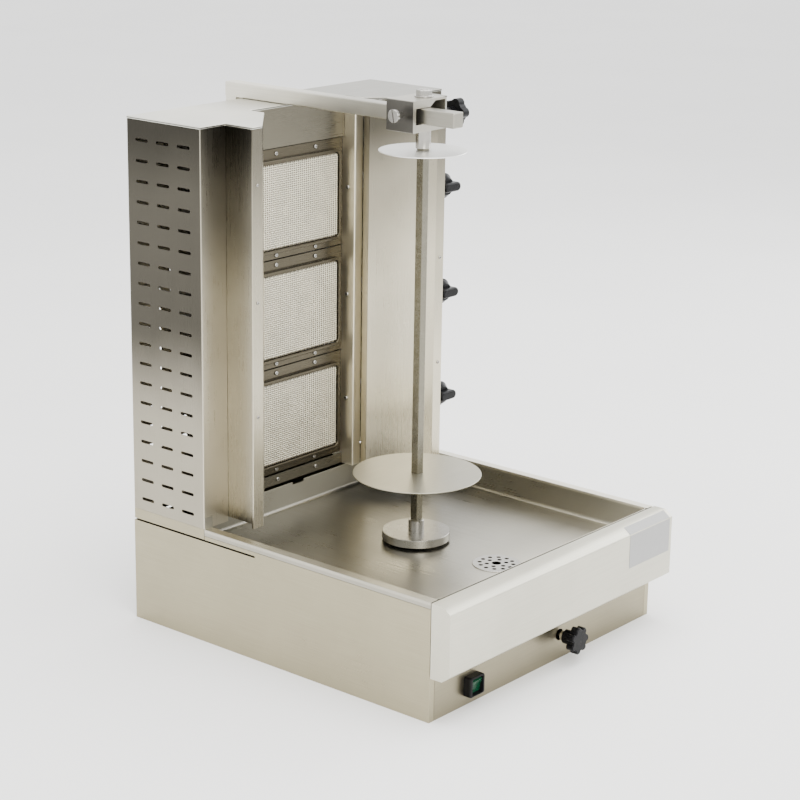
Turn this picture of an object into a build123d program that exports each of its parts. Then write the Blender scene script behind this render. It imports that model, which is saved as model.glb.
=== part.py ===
from build123d import *
import os
from math import cos, radians, sin

# Vertical rotisserie broiler: a base with a drip tray and a grease drawer, a tower with three
# gas burners between two reflector wings, and a motor-driven spit held at the top by an arm.
# Millimetres. X to the right, front is -Y, Z up. The origin is the centre of the base's
# footprint on the surface that the broiler stands on.

# ---------------------------------------------------------------- driving dimensions
WIDTH = 500.0          # base, left to right
DEPTH = 538.0          # base, front to back
RIM_Z = 165.0          # top of the drip tray's rim
TOP_Z = 718.0          # top of the tower
SHEET = 1.0            # stainless sheet
SEAM = 0.4             # gap between neighbouring panels
BEND = 1.6             # bend radius of folded sheet

HALF = WIDTH / 2
FRONT = -DEPTH / 2
BACK = DEPTH / 2

TRAY_FLOOR = 125.0     # upper face of the drip tray's floor
RIM_WIDTH = 14.0
RIM_LIP = 9.0          # the rim's lip, turned down outside
TRAY_BACK = 186.0      # rear wall of the tray, under the burners
TRAY_BEND = 5.0

CASING_FRONT = 131.0   # front faces of the two side casings
CASING_IN = 202.5      # inner side of a casing, outer side of a wing
TOWER_FOOT = 150.0     # lower edge of the tower's base frame
LID_LIP = 3.2
PANEL_TOP = TOP_Z - LID_LIP - SEAM

WING_FRONT = 83.0
WING_STRIP = 183.0     # inner edge of a wing's front strip
WING_SPLAY = (110.0, 150.5)
WING_RETURN = (117.0, 167.0)

RAIL_X = 100.0         # face of the burner column's side rails
RAIL_FRONT = 168.0
RAIL_FLANGE = 17.0
BURNER_Y = 189.0       # front plane of the burner frames
BURNERS = 3
BURNER_PITCH = 158.8
BURNER_TOP = 657.5
BURNER_GAP = 1.6       # dark joint between neighbouring burners
BURNER_EDGE = (20.0, 14.0)   # frame above and below the mesh
MESH_HALF = 87.5
STRIP_BOTTOM = 165.5
SCREW_X = (-41.0, 41.0)

SPIT_Y = -39.0         # spit axis, at X 0
SPIT_SIDE = 12.0
TRAVEL = (-25.0, 9.0)  # the spit's slide, away from and towards the burners
HUB_R, HUB_Z, HUB_T = 47.8, 128.7, 11.3
COLLAR_R, COLLAR_T = 11.0, 16.0
SHAFT_R = 8.0
RUN = 0.05             # radial clearance of a running fit
LOWER_DISC_R, LOWER_DISC_Z = 90.0, 223.0
UPPER_DISC_R, UPPER_DISC_Z = 60.0, 677.0
DISC_T = 1.5

BAR_SIDE = 20.5
BAR_X = -19.5
BAR_Z = 728.75
BAR_FRONT = -114.0
POST_BACK = 300.0
BLOCK_X = (-45.0, 25.0)
BLOCK_Y = (-58.0, -12.0)
BLOCK_Z = (707.5, 750.0)
CUP_R, CUP_BOTTOM = 10.2, 681.0
PIN_LIFT = 10.0        # how far the pivot pin lifts to free the spit
CLAMP_Z = 722.5

DRAWER_BOTTOM = 63.0
DRAWER_DEPTH = 32.8    # how far the drawer's front stands out of the base
DRAWER_HALF = 251.5
PULL_DEPTH = 150.0     # length of the drawer's box

KNOB_X = 226.0         # gas knobs, on the right casing's front
SWITCH = (-164.0, 27.0)
ROD = (32.5, 35.0)     # the spit slide's push rod, X and Z
STAR_R = 19.5

os.makedirs("parts", exist_ok=True)


def save(builder, name):
    """Label a finished piece and write it."""
    builder.part.label = name
    export_step(builder.part, "parts/" + name + ".step")


def burner_z(index):
    """Upper and lower edge of a burner frame, counted from the top."""
    top = BURNER_TOP - index * BURNER_PITCH
    return top, top - BURNER_PITCH + BURNER_GAP


def folded(points, bottom, top, side):
    """A folded sheet that stands upright: its plan line, thickened to one side."""
    with BuildPart() as sheet:
        with BuildSketch(Plane.XY.offset(bottom)):
            with BuildLine():
                FilletPolyline(*points, radius=BEND)
                offset(amount=SHEET, side=side)
            make_face()
        extrude(amount=top - bottom)
    return sheet.part


def star(plane, radius, thick, lobes, lobe, start=0):
    """The lobed head of a star knob, on a plane, standing along its normal."""
    with BuildPart() as head:
        with BuildSketch(plane):
            Circle(radius * 0.8)
            with PolarLocations(radius - lobe, lobes, start_angle=start):
                Circle(lobe)
        extrude(amount=thick)
        chamfer(head.faces().sort_by(Axis(plane.origin, plane.z_dir))[-1].edges(), length=1.2)
    return head.part


# ================================================================= base
with BuildPart() as base_floor:
    with BuildSketch(Plane.XY):
        Rectangle(WIDTH - 2 * (SHEET + SEAM), DEPTH - 2 * (SHEET + SEAM))
    extrude(amount=1.5)
save(base_floor, "base_floor")

# Side panel. A slit runs along it under the tower's foot and a little way forward.
SLIT_FRONT = 36.0
SIDE_TOP = RIM_Z - RIM_LIP - 0.5
FRONT_FLANGE = 10.0
BACK_FLANGE = 15.0
with BuildPart() as base_side_left:
    with BuildSketch(Plane.YZ.offset(-HALF)):
        with BuildLine():
            Polyline(
                (FRONT, 0), (BACK, 0), (BACK, TOWER_FOOT - 2.5), (SLIT_FRONT, TOWER_FOOT - 2.5),
                (SLIT_FRONT, TOWER_FOOT), (CASING_FRONT - SEAM, TOWER_FOOT),
                (CASING_FRONT - SEAM, SIDE_TOP), (FRONT, SIDE_TOP), close=True,
            )
        make_face()
    extrude(amount=SHEET)
    with BuildSketch(Plane.XY):
        with Locations((-HALF + FRONT_FLANGE / 2, FRONT + SHEET / 2)):
            Rectangle(FRONT_FLANGE, SHEET)
    extrude(amount=SIDE_TOP)
    with BuildSketch(Plane.XY):
        with Locations((-HALF + BACK_FLANGE / 2, BACK - SHEET / 2)):
            Rectangle(BACK_FLANGE, SHEET)
    extrude(amount=TOWER_FOOT - 2.5)
save(base_side_left, "base_side_left")

with BuildPart() as base_side_right:
    mirror(base_side_left.part, about=Plane.YZ)
save(base_side_right, "base_side_right")

# Front panel under the drawer, with the switch cut-out and the push rod's hole.
FRONT_PANEL_HALF = HALF - FRONT_FLANGE - SEAM
FRONT_PANEL_TOP = 66.0
with BuildPart() as front_panel:
    with BuildSketch(Plane.XZ.offset(-FRONT)):
        with Locations((0, FRONT_PANEL_TOP / 2)):
            Rectangle(2 * FRONT_PANEL_HALF, FRONT_PANEL_TOP)
        with Locations(SWITCH):
            Rectangle(25, 27, mode=Mode.SUBTRACT)
        with Locations(ROD):
            Circle(8.2, mode=Mode.SUBTRACT)
    extrude(amount=-SHEET)
    with BuildSketch(Plane.XY.offset(FRONT_PANEL_TOP - SHEET)):
        with Locations((0, FRONT + 8)):
            Rectangle(2 * FRONT_PANEL_HALF - 20, 16)
    extrude(amount=SHEET)
save(front_panel, "front_panel")

# Rear panel of the base, with vents and the cable gland's hole.
GLAND = (-170.0, 60.0)
GLAND_R = 8.0
with BuildPart() as base_back:
    with BuildSketch(Plane.XZ.offset(-BACK)):
        with Locations((0, (TOWER_FOOT - 2.5) / 2)):
            Rectangle(2 * (HALF - BACK_FLANGE - SEAM), TOWER_FOOT - 2.5)
        with Locations(GLAND):
            Circle(GLAND_R + 0.1, mode=Mode.SUBTRACT)
        with Locations((0, 70)):
            with GridLocations(36, 14, 5, 4):
                SlotOverall(24, 4, mode=Mode.SUBTRACT)
    extrude(amount=SHEET)
save(base_back, "base_back")

# Drip tray: pan, rim with a turned-down lip, shaft slot with a raised collar, drain hole,
# and two upright tabs that locate the side casings.
TRAY_HALF = HALF - RIM_WIDTH
TRAY_FRONT = FRONT + SHEET
TRAY_MID = (TRAY_FRONT + TRAY_BACK) / 2
TRAY_LENGTH = TRAY_BACK - TRAY_FRONT
DRAIN_Y = -182.0
DRAIN_R = 27.0
SLOT_R = SHAFT_R + 3.0
SLOT_MID = SPIT_Y + sum(TRAVEL) / 2
SLOT_TRAVEL = TRAVEL[1] - TRAVEL[0]


def basin(wall, bend):
    """A solid tub with rounded corners, as wide as the tray's inside plus a wall."""
    with BuildPart() as tub:
        with BuildSketch(Plane.XY.offset(TRAY_FLOOR - wall)):
            with Locations((0, TRAY_MID)):
                RectangleRounded(2 * (TRAY_HALF + wall), TRAY_LENGTH + 2 * wall, bend + 2)
        extrude(amount=RIM_Z - TRAY_FLOOR + wall)
        fillet(tub.faces().sort_by(Axis.Z)[0].edges(), radius=bend)
    return tub.part


with BuildPart() as drip_tray:
    add(basin(SHEET, TRAY_BEND + SHEET))
    add(basin(0, TRAY_BEND), mode=Mode.SUBTRACT)
    with BuildSketch(Plane.XY.offset(TRAY_FLOOR)):
        with Locations((0, SLOT_MID)):
            SlotCenterToCenter(SLOT_TRAVEL, 2 * (SLOT_R + SHEET), rotation=90)
    extrude(amount=3)
    with BuildSketch(Plane.XY.offset(TRAY_FLOOR - SHEET)):
        with Locations((0, SLOT_MID)):
            SlotCenterToCenter(SLOT_TRAVEL, 2 * SLOT_R, rotation=90)
        with Locations((0, DRAIN_Y)):
            Circle(DRAIN_R)
    extrude(amount=6, mode=Mode.SUBTRACT)
    # the rear wall is lower, with a shallow notch in the middle
    with BuildSketch(Plane.XZ.offset(-TRAY_BACK + 6)):
        with Locations((0, 165)):
            Rectangle(2 * TRAY_HALF - 2, 6)
        with Locations((0, 161)):
            Rectangle(24, 6)
    extrude(amount=-12, mode=Mode.SUBTRACT)
    # rims: flat top, then the lip down the outside
    for side in (-1, 1):
        rim_length = CASING_FRONT - SEAM - TRAY_FRONT + SHEET
        rim_mid = (CASING_FRONT - SEAM + TRAY_FRONT - SHEET) / 2
        with BuildSketch(Plane.XY.offset(RIM_Z - SHEET)):
            with Locations((side * (HALF - RIM_WIDTH / 2), rim_mid)):
                Rectangle(RIM_WIDTH, rim_length)
        extrude(amount=SHEET)
        with BuildSketch(Plane.XY.offset(RIM_Z - RIM_LIP)):
            with Locations((side * (HALF - SHEET / 2), rim_mid)):
                Rectangle(SHEET, rim_length)
        extrude(amount=RIM_LIP)
        with BuildSketch(Plane.XY.offset(RIM_Z - SHEET)):
            with Locations((side * (HALF - 7.5), CASING_FRONT - SEAM - SHEET / 2)):
                Rectangle(15, SHEET)
        extrude(amount=18)
    fillet(
        drip_tray.edges().filter_by(Axis.Y).filter_by_position(Axis.Z, RIM_Z, RIM_Z).group_by(Axis.X)[0]
        + drip_tray.edges().filter_by(Axis.Y).filter_by_position(Axis.Z, RIM_Z, RIM_Z).group_by(Axis.X)[-1],
        radius=0.9,
    )
save(drip_tray, "drip_tray")

# Perforated drain grate with a spigot that drops into the tray's hole.
GRATE_R = 33.5
with BuildPart() as drain_grate:
    with BuildSketch(Plane.XY.offset(TRAY_FLOOR)):
        with Locations((0, DRAIN_Y)):
            Circle(GRATE_R)
            Circle(6.5, mode=Mode.SUBTRACT)
            with PolarLocations(13.6, 6, start_angle=20):
                Circle(3.1, mode=Mode.SUBTRACT)
            with PolarLocations(23.2, 12):
                Circle(3.1, mode=Mode.SUBTRACT)
    extrude(amount=1.0)
    fillet(drain_grate.faces().sort_by(Axis.Z)[-1].outer_wire().edges(), radius=0.7)
    with BuildSketch(Plane.XY.offset(TRAY_FLOOR - 5)):
        with Locations((0, DRAIN_Y)):
            Circle(DRAIN_R - 0.3)
            Circle(DRAIN_R - 1.1, mode=Mode.SUBTRACT)
    extrude(amount=5)
save(drain_grate, "drain_grate")

# ================================================================= grease drawer
FASCIA_BACK = FRONT - 2.2
FASCIA_FRONT = FRONT - DRAWER_DEPTH
CHAMFER = 12.0
FASCIA_SHEET = 1.2
with BuildPart() as drawer_front:
    with BuildSketch(Plane.YZ.offset(-DRAWER_HALF)):
        with BuildLine():
            Polyline(
                (FASCIA_BACK, RIM_Z), (FASCIA_FRONT + CHAMFER, RIM_Z), (FASCIA_FRONT, RIM_Z - CHAMFER + 3),
                (FASCIA_FRONT, DRAWER_BOTTOM + CHAMFER - 3), (FASCIA_FRONT + CHAMFER, DRAWER_BOTTOM),
                (FASCIA_BACK, DRAWER_BOTTOM), close=True,
            )
        make_face()
    extrude(amount=2 * DRAWER_HALF)
    fillet(drawer_front.edges().filter_by(Axis.X).group_by(Axis.Y)[0], radius=2.0)
    offset(amount=-FASCIA_SHEET, openings=drawer_front.faces().filter_by(Axis.Y).sort_by(Axis.Y)[-1])
save(drawer_front, "drawer_front")

# The box is fixed to the inside of the front.
BOX_HALF, BOX_BOTTOM, BOX_TOP = 222.0, 74.0, 114.0
BOX_FRONT = FASCIA_FRONT + FASCIA_SHEET
BOX_BACK = FASCIA_BACK + PULL_DEPTH
with BuildPart() as drawer_box:
    with BuildSketch(Plane.XY.offset(BOX_BOTTOM)):
        with Locations((0, (BOX_FRONT + BOX_BACK) / 2)):
            RectangleRounded(2 * BOX_HALF, BOX_BACK - BOX_FRONT, 4)
    extrude(amount=BOX_TOP - BOX_BOTTOM)
    offset(amount=-SHEET, openings=drawer_box.faces().sort_by(Axis.Z)[-1])
    # hanging flanges on both sides
    for side in (-1, 1):
        with BuildSketch(Plane.XY.offset(BOX_TOP - SHEET)):
            with Locations((side * (BOX_HALF + 4), FASCIA_BACK + PULL_DEPTH / 2)):
                Rectangle(10, PULL_DEPTH - 12)
        extrude(amount=SHEET)
save(drawer_box, "drawer_box")

# Two angle runners carry the drawer box by its flanges.
with BuildPart() as drawer_runners:
    for side in (-1, 1):
        runner_mid = FRONT + 3 + 115
        with BuildSketch(Plane.XY.offset(BOX_TOP - 3.3)):
            with Locations((side * 231.5, runner_mid)):
                Rectangle(13, 230)
        extrude(amount=2)
        with BuildSketch(Plane.XY.offset(BOX_TOP - 3.3)):
            with Locations((side * 239, runner_mid)):
                Rectangle(2, 230)
        extrude(amount=-30)
        with BuildSketch(Plane.XY.offset(BOX_TOP - 26)):
            with Locations((side * 244.4, runner_mid - 90), (side * 244.4, runner_mid + 90)):
                Rectangle(8.8, 14)
        extrude(amount=12)
save(drawer_runners, "drawer_runners")

# ================================================================= tower
# Base frame that the tower stands on: outer walls and an inward flange.
with BuildPart() as tower_base:
    with BuildSketch(Plane.XY.offset(TOWER_FOOT + 0.3)):
        with BuildLine():
            FilletPolyline(
                (-HALF, CASING_FRONT + SEAM), (-HALF, BACK), (HALF, BACK), (HALF, CASING_FRONT + SEAM),
                radius=BEND,
            )
            offset(amount=SHEET, side=Side.RIGHT)
        make_face()
    extrude(amount=RIM_Z - TOWER_FOOT - 0.3)
    with BuildSketch(Plane.XY.offset(RIM_Z - SHEET)):
        for side in (-1, 1):
            with Locations((side * (HALF - 6), (CASING_FRONT + BACK) / 2)):
                Rectangle(11, BACK - CASING_FRONT - 2 * SEAM)
        with Locations((0, BACK - 8.5)):
            Rectangle(WIDTH - 20, 16)
    extrude(amount=SHEET)
save(tower_base, "tower_base")

# Side casing: front face, side and a return at the back. The side is a grille of slots.
CASING_BOTTOM = RIM_Z + 0.2
CASING_PLAN = [
    (-CASING_IN - SEAM, CASING_FRONT), (-HALF, CASING_FRONT), (-HALF, BACK), (-HALF + BACK_FLANGE, BACK),
]
SLOT_ROWS, SLOT_PITCH, SLOT_TOP = 19, 28.1, 688.0
SLOT_Y, SLOT_STEP, SLOT_LONG, SLOT_HIGH = 201.3, 39.3, 23.5, 4.4
with BuildPart() as casing_left:
    add(folded(CASING_PLAN, CASING_BOTTOM, PANEL_TOP, Side.RIGHT))
    with BuildSketch(Plane.YZ.offset(-HALF - 1)):
        with Locations((SLOT_Y, SLOT_TOP - (SLOT_ROWS - 1) * SLOT_PITCH / 2)):
            with GridLocations(SLOT_STEP, SLOT_PITCH, 3, SLOT_ROWS):
                SlotOverall(SLOT_LONG, SLOT_HIGH)
    extrude(amount=SHEET + 2, mode=Mode.SUBTRACT)
save(casing_left, "casing_left")

KNOB_Z = [sum(burner_z(index)) / 2 + 1.4 for index in range(BURNERS)]
SPINDLE_R = 4.0
with BuildPart() as casing_right:
    mirror(casing_left.part, about=Plane.YZ)
    with BuildSketch(Plane.XZ.offset(-CASING_FRONT + 1)):
        with Locations(*[(KNOB_X, z) for z in KNOB_Z]):
            Circle(SPINDLE_R + 1.5)
    extrude(amount=-SHEET - 2, mode=Mode.SUBTRACT)
save(casing_right, "casing_right")

# Wing: outer web, front strip, splayed reflector and a return towards the burner rail.
WING_PLAN = [
    (-CASING_IN, CASING_FRONT + 12), (-CASING_IN, WING_FRONT), (-WING_STRIP, WING_FRONT),
    (-WING_SPLAY[0], WING_SPLAY[1]), (-WING_RETURN[0], WING_RETURN[1] - 0.3),
]
with BuildPart() as wing_left:
    add(folded(WING_PLAN, RIM_Z - 0.5, PANEL_TOP, Side.LEFT))
    # the outer web stops a little above the front strip
    with BuildSketch(Plane.YZ.offset(-CASING_IN - 1)):
        with Locations((WING_FRONT + 33, RIM_Z + 3)):
            Rectangle(60, 7.2)
    extrude(amount=SHEET + 2, mode=Mode.SUBTRACT)
save(wing_left, "wing_left")

with BuildPart() as wing_right:
    mirror(wing_left.part, about=Plane.YZ)
save(wing_right, "wing_right")

# Side rail of the burner column: a web beside the burners and a flange facing forward.
RAIL_PLAN = [(-RAIL_X - RAIL_FLANGE, RAIL_FRONT), (-RAIL_X, RAIL_FRONT), (-RAIL_X, BURNER_Y + 18)]
with BuildPart() as burner_rail_left:
    add(folded(RAIL_PLAN, RIM_Z - 0.5, PANEL_TOP, Side.LEFT))
save(burner_rail_left, "burner_rail_left")

with BuildPart() as burner_rail_right:
    mirror(burner_rail_left.part, about=Plane.YZ)
save(burner_rail_right, "burner_rail_right")

# Lid: one folded sheet over the casings and wings, with a bay in front of the burners.
LID_CORNER = (100.0, 158.0)
LID_HALF_PLAN = [
    (HALF, BACK), (HALF, CASING_FRONT), (CASING_IN, CASING_FRONT), (CASING_IN, WING_FRONT),
    (WING_STRIP, WING_FRONT), LID_CORNER, (LID_CORNER[0], BURNER_Y - 2),
]
with BuildPart() as tower_lid:
    with BuildSketch(Plane.XY.offset(TOP_Z - LID_LIP)):
        with BuildLine():
            Polyline(*LID_HALF_PLAN, *[(-x, y) for x, y in reversed(LID_HALF_PLAN)], close=True)
        make_face()
    extrude(amount=LID_LIP)
    offset(amount=-SHEET, openings=tower_lid.faces().sort_by(Axis.Z)[0], kind=Kind.INTERSECTION)
    fillet(tower_lid.faces().sort_by(Axis.Z)[-1].edges(), radius=0.9)
save(tower_lid, "tower_lid")

# Rear panel with two banks of vents and the gas inlet's hole.
MANIFOLD_X = 216.0
INLET = (MANIFOLD_X, 200.0)
INLET_R, INLET_LENGTH = 10.5, 23.5   # stub outside the rear panel
PIPE_R = 7.5
VENT_ROWS, VENT_PITCH, VENT_MID = 10, 27.7, 371.0
with BuildPart() as tower_back:
    with BuildSketch(Plane.XZ.offset(-BACK)):
        with Locations((0, (CASING_BOTTOM + PANEL_TOP) / 2)):
            Rectangle(2 * (HALF - BACK_FLANGE - SEAM), PANEL_TOP - CASING_BOTTOM)
        for side in (-1, 1):
            with Locations((side * 160, VENT_MID)):
                with GridLocations(48, VENT_PITCH, 3, VENT_ROWS):
                    SlotOverall(30, 9, mode=Mode.SUBTRACT)
        with Locations(INLET):
            Circle(PIPE_R + 0.8, mode=Mode.SUBTRACT)
    extrude(amount=SHEET)
save(tower_back, "tower_back")

# Plate over the top burner, with a return at its lower edge.
COVER_BOTTOM = BURNER_TOP + BURNER_GAP
with BuildPart() as upper_cover:
    with BuildSketch(Plane.XZ.offset(-BURNER_Y)):
        with Locations((0, (COVER_BOTTOM + PANEL_TOP) / 2)):
            Rectangle(2 * (RAIL_X - 0.5), PANEL_TOP - COVER_BOTTOM)
    extrude(amount=-SHEET)
    with BuildSketch(Plane.XY.offset(COVER_BOTTOM)):
        with Locations((0, BURNER_Y + 6)):
            Rectangle(2 * (RAIL_X - 1), 12)
    extrude(amount=SHEET)
save(upper_cover, "upper_cover")

# Screwed strip under the bottom burner.
STRIP_TOP = burner_z(BURNERS - 1)[1] - BURNER_GAP
with BuildPart() as lower_strip:
    with BuildSketch(Plane.XZ.offset(-BURNER_Y)):
        with Locations((0, (STRIP_TOP + STRIP_BOTTOM) / 2)):
            Rectangle(2 * (RAIL_X - 0.5), STRIP_TOP - STRIP_BOTTOM)
    extrude(amount=-SHEET)
    with BuildSketch(Plane.XY.offset(STRIP_BOTTOM)):
        with Locations((0, BURNER_Y + 8)):
            Rectangle(2 * (RAIL_X - 1), 16)
    extrude(amount=SHEET)
save(lower_strip, "lower_strip")

# ================================================================= burners
FRAME_RIM = 5.0        # raised rim round the mesh
FRAME_SET = 3.0        # the flange lies this far behind the rail's step
FRAME_DEEP = 20.0
FLANGE_Y = BURNER_Y + FRAME_SET
for index in range(BURNERS):
    top, bottom = burner_z(index)
    mesh_top, mesh_bottom = top - BURNER_EDGE[0], bottom + BURNER_EDGE[1]
    mesh_mid, mesh_high = (mesh_top + mesh_bottom) / 2, mesh_top - mesh_bottom
    with BuildPart() as burner_frame:
        with BuildSketch(Plane.XZ.offset(-FLANGE_Y)):
            with Locations((0, (top + bottom) / 2)):
                Rectangle(2 * (RAIL_X - 0.5), top - bottom)
            with Locations((0, mesh_mid)):
                RectangleRounded(2 * MESH_HALF, mesh_high, 7, mode=Mode.SUBTRACT)
        extrude(amount=-SHEET)
        with BuildSketch(Plane.XZ.offset(-FLANGE_Y)):
            with Locations((0, mesh_mid)):
                RectangleRounded(2 * (MESH_HALF + FRAME_RIM), mesh_high + 2 * FRAME_RIM, 10)
                RectangleRounded(2 * MESH_HALF, mesh_high, 7, mode=Mode.SUBTRACT)
        extrude(amount=FRAME_SET + 3)
        fillet(burner_frame.faces().sort_by(Axis.Y)[0].edges(), radius=1.4)
        # skirts folded back along the top and bottom edges
        for edge in (top - SHEET, bottom):
            with BuildSketch(Plane.XY.offset(edge)):
                with Locations((0, FLANGE_Y + FRAME_DEEP / 2)):
                    Rectangle(2 * (RAIL_X - 1.5), FRAME_DEEP)
            extrude(amount=SHEET)
    save(burner_frame, "burner_frame_" + str(index + 1))

# Ceramic plaques behind the mesh, one block for each burner.
PLAQUE_Y = BURNER_Y + 2.0
PLAQUE_T = 12.0
with BuildPart() as burner_plaques:
    for index in range(BURNERS):
        top, bottom = burner_z(index)
        with BuildSketch(Plane.XZ.offset(-PLAQUE_Y)):
            with Locations((0, (top - BURNER_EDGE[0] + bottom + BURNER_EDGE[1]) / 2)):
                RectangleRounded(2 * (MESH_HALF - 0.5), BURNER_PITCH - sum(BURNER_EDGE) - 3, 6.5)
        extrude(amount=-PLAQUE_T)
save(burner_plaques, "burner_plaques")

# Wire mesh screens in the frames' openings.
with BuildPart() as burner_meshes:
    for index in range(BURNERS):
        top, bottom = burner_z(index)
        mesh_mid = (top - BURNER_EDGE[0] + bottom + BURNER_EDGE[1]) / 2
        with BuildSketch(Plane.XZ.offset(-BURNER_Y - 1)):
            with Locations((0, mesh_mid)):
                RectangleRounded(2 * MESH_HALF - 0.8, BURNER_PITCH - sum(BURNER_EDGE) - 2.6, 6.6)
        extrude(amount=2)
save(burner_meshes, "burner_meshes")

# Mixing boxes behind the plaques, each with its venturi tube towards the gas valve.
BOX_Y = PLAQUE_Y + PLAQUE_T
VENTURI_R = 12.0
with BuildPart() as burner_boxes:
    for index in range(BURNERS):
        mid = KNOB_Z[index]
        with BuildSketch(Plane.XZ.offset(-BOX_Y)):
            with Locations((0, mid)):
                Rectangle(180, 126)
        extrude(amount=-38, taper=12)
        with BuildSketch(Plane.YZ.offset(60)):
            with Locations((BOX_Y + 20, mid)):
                Circle(VENTURI_R)
        extrude(amount=118)
        with BuildSketch(Plane.YZ.offset(95)):
            with Locations((BOX_Y + 20, mid)):
                Circle(VENTURI_R - 1.5)
        extrude(amount=84, mode=Mode.SUBTRACT)
save(burner_boxes, "burner_boxes")

# ================================================================= gas line
MANIFOLD_Y = 176.0
with BuildPart() as gas_manifold:
    with BuildSketch(Plane.XY.offset(INLET[1])):
        with Locations((MANIFOLD_X, MANIFOLD_Y)):
            Circle(PIPE_R)
    extrude(amount=KNOB_Z[0] - INLET[1] + 22)
    with BuildSketch(Plane.XZ.offset(-MANIFOLD_Y)):
        with Locations((MANIFOLD_X, INLET[1])):
            Circle(PIPE_R)
    extrude(amount=-(BACK + 0.5 - MANIFOLD_Y))
    with BuildSketch(Plane.XZ.offset(-BACK - 0.5)):
        with Locations((MANIFOLD_X, INLET[1])):
            Circle(INLET_R)
    extrude(amount=-INLET_LENGTH)
    with BuildSketch(Plane.XZ.offset(-BACK + 12)):
        with Locations((MANIFOLD_X, INLET[1])):
            Circle(5.5)
    extrude(amount=-36, mode=Mode.SUBTRACT)
save(gas_manifold, "gas_manifold")

VALVE_Y = CASING_FRONT + SHEET + 1
with BuildPart() as gas_valves:
    for z in KNOB_Z:
        with BuildSketch(Plane.XZ.offset(-VALVE_Y)):
            with Locations((KNOB_X, z)):
                Circle(13)
        extrude(amount=-24)
        with BuildSketch(Plane.XZ.offset(-VALVE_Y - 12)):
            with Locations((KNOB_X, z)):
                Rectangle(20, 30)
        extrude(amount=-(MANIFOLD_Y - PIPE_R - VALVE_Y - 12.4))
        with BuildSketch(Plane.XZ.offset(-VALVE_Y)):
            with Locations((KNOB_X, z)):
                Circle(SPINDLE_R + RUN)
        extrude(amount=-24, mode=Mode.SUBTRACT)
save(gas_valves, "gas_valves")

# Feed tubes: from each valve to a jet that is aimed into the venturi.
JET_Y = BOX_Y + 20
with BuildPart() as gas_injectors:
    for z in KNOB_Z:
        with BuildSketch(Plane.YZ.offset(181)):
            with Locations((JET_Y, z)):
                RegularPolygon(7, 6)
        extrude(amount=16)
        with BuildSketch(Plane.YZ.offset(196)):
            with Locations((VALVE_Y + 30, z)):
                Circle(4)
        extrude(amount=KNOB_X - 10.3 - 196)
        with BuildSketch(Plane.XZ.offset(-VALVE_Y - 26)):
            with Locations((200, z)):
                Circle(4)
        extrude(amount=-(JET_Y + 4 - VALVE_Y - 26))
save(gas_injectors, "gas_injectors")

# Spindles and knobs. A knob is pressed in, then turned.
PRESS = 4.0
KNOB_BACK = CASING_FRONT - PRESS - 1.5
KNOB_R, KNOB_SKIRT = 19.0, 21.5
KNOB_DOME = 8.5        # height of the tapered shoulder on the skirt
KNOB_LONG = 40.0
GRIP = (36.0, 13.5)    # bar that is turned, across the knob
for index, z in enumerate(KNOB_Z):
    with BuildPart() as valve_spindle:
        with BuildSketch(Plane.XZ.offset(-VALVE_Y - 18)):
            with Locations((KNOB_X, z)):
                Circle(SPINDLE_R)
        extrude(amount=VALVE_Y + 18 - (KNOB_BACK - 14))
        chamfer(valve_spindle.faces().sort_by(Axis.Y)[0].edges(), length=0.6)
    save(valve_spindle, "valve_spindle_" + str(index + 1))

    with BuildPart() as gas_knob:
        with BuildSketch(Plane.XZ.offset(-KNOB_BACK)):
            with Locations((KNOB_X, z)):
                Circle(KNOB_R)
        extrude(amount=KNOB_SKIRT)
        fillet(gas_knob.faces().sort_by(Axis.Y)[0].edges(), radius=1.0)
        with BuildSketch(Plane.XZ.offset(-KNOB_BACK + KNOB_SKIRT)):
            with Locations((KNOB_X, z)):
                Circle(KNOB_R - 1.2)
        extrude(amount=KNOB_DOME, taper=33)
        fillet(gas_knob.faces().sort_by(Axis.Y)[0].edges(), radius=2.5)
        with BuildSketch(Plane.XZ.offset(-KNOB_BACK + KNOB_SKIRT - 2)):
            with Locations((KNOB_X, z)):
                SlotOverall(*GRIP)
        extrude(amount=KNOB_LONG - KNOB_SKIRT + 2)
        fillet(gas_knob.faces().sort_by(Axis.Y)[0].edges(), radius=3.0)
        with BuildSketch(Plane.XZ.offset(-KNOB_BACK)):
            with Locations((KNOB_X, z)):
                Circle(SPINDLE_R + RUN)
        extrude(amount=14.5, mode=Mode.SUBTRACT)
    save(gas_knob, "gas_knob_" + str(index + 1))

# ================================================================= spit drive
# The gear motor hangs on a carriage that slides on two rods, towards and away from the fire.
RAIL_ROD_X, RAIL_ROD_Z, RAIL_ROD_R = 62.0, 36.0, 5.0
CARRIAGE_HALF_Y = 60.0
SUPPORT_Y = (SPIT_Y - CARRIAGE_HALF_Y + TRAVEL[0] - 8, SPIT_Y + CARRIAGE_HALF_Y + TRAVEL[1] + 8)
PLATE_Z = 48.0
with BuildPart() as slide_rods:
    with BuildSketch(Plane.XZ.offset(-SUPPORT_Y[0] + 6)):
        with Locations((-RAIL_ROD_X, RAIL_ROD_Z), (RAIL_ROD_X, RAIL_ROD_Z)):
            Circle(RAIL_ROD_R)
    extrude(amount=-(SUPPORT_Y[1] - SUPPORT_Y[0] + 12))
save(slide_rods, "slide_rods")

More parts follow.
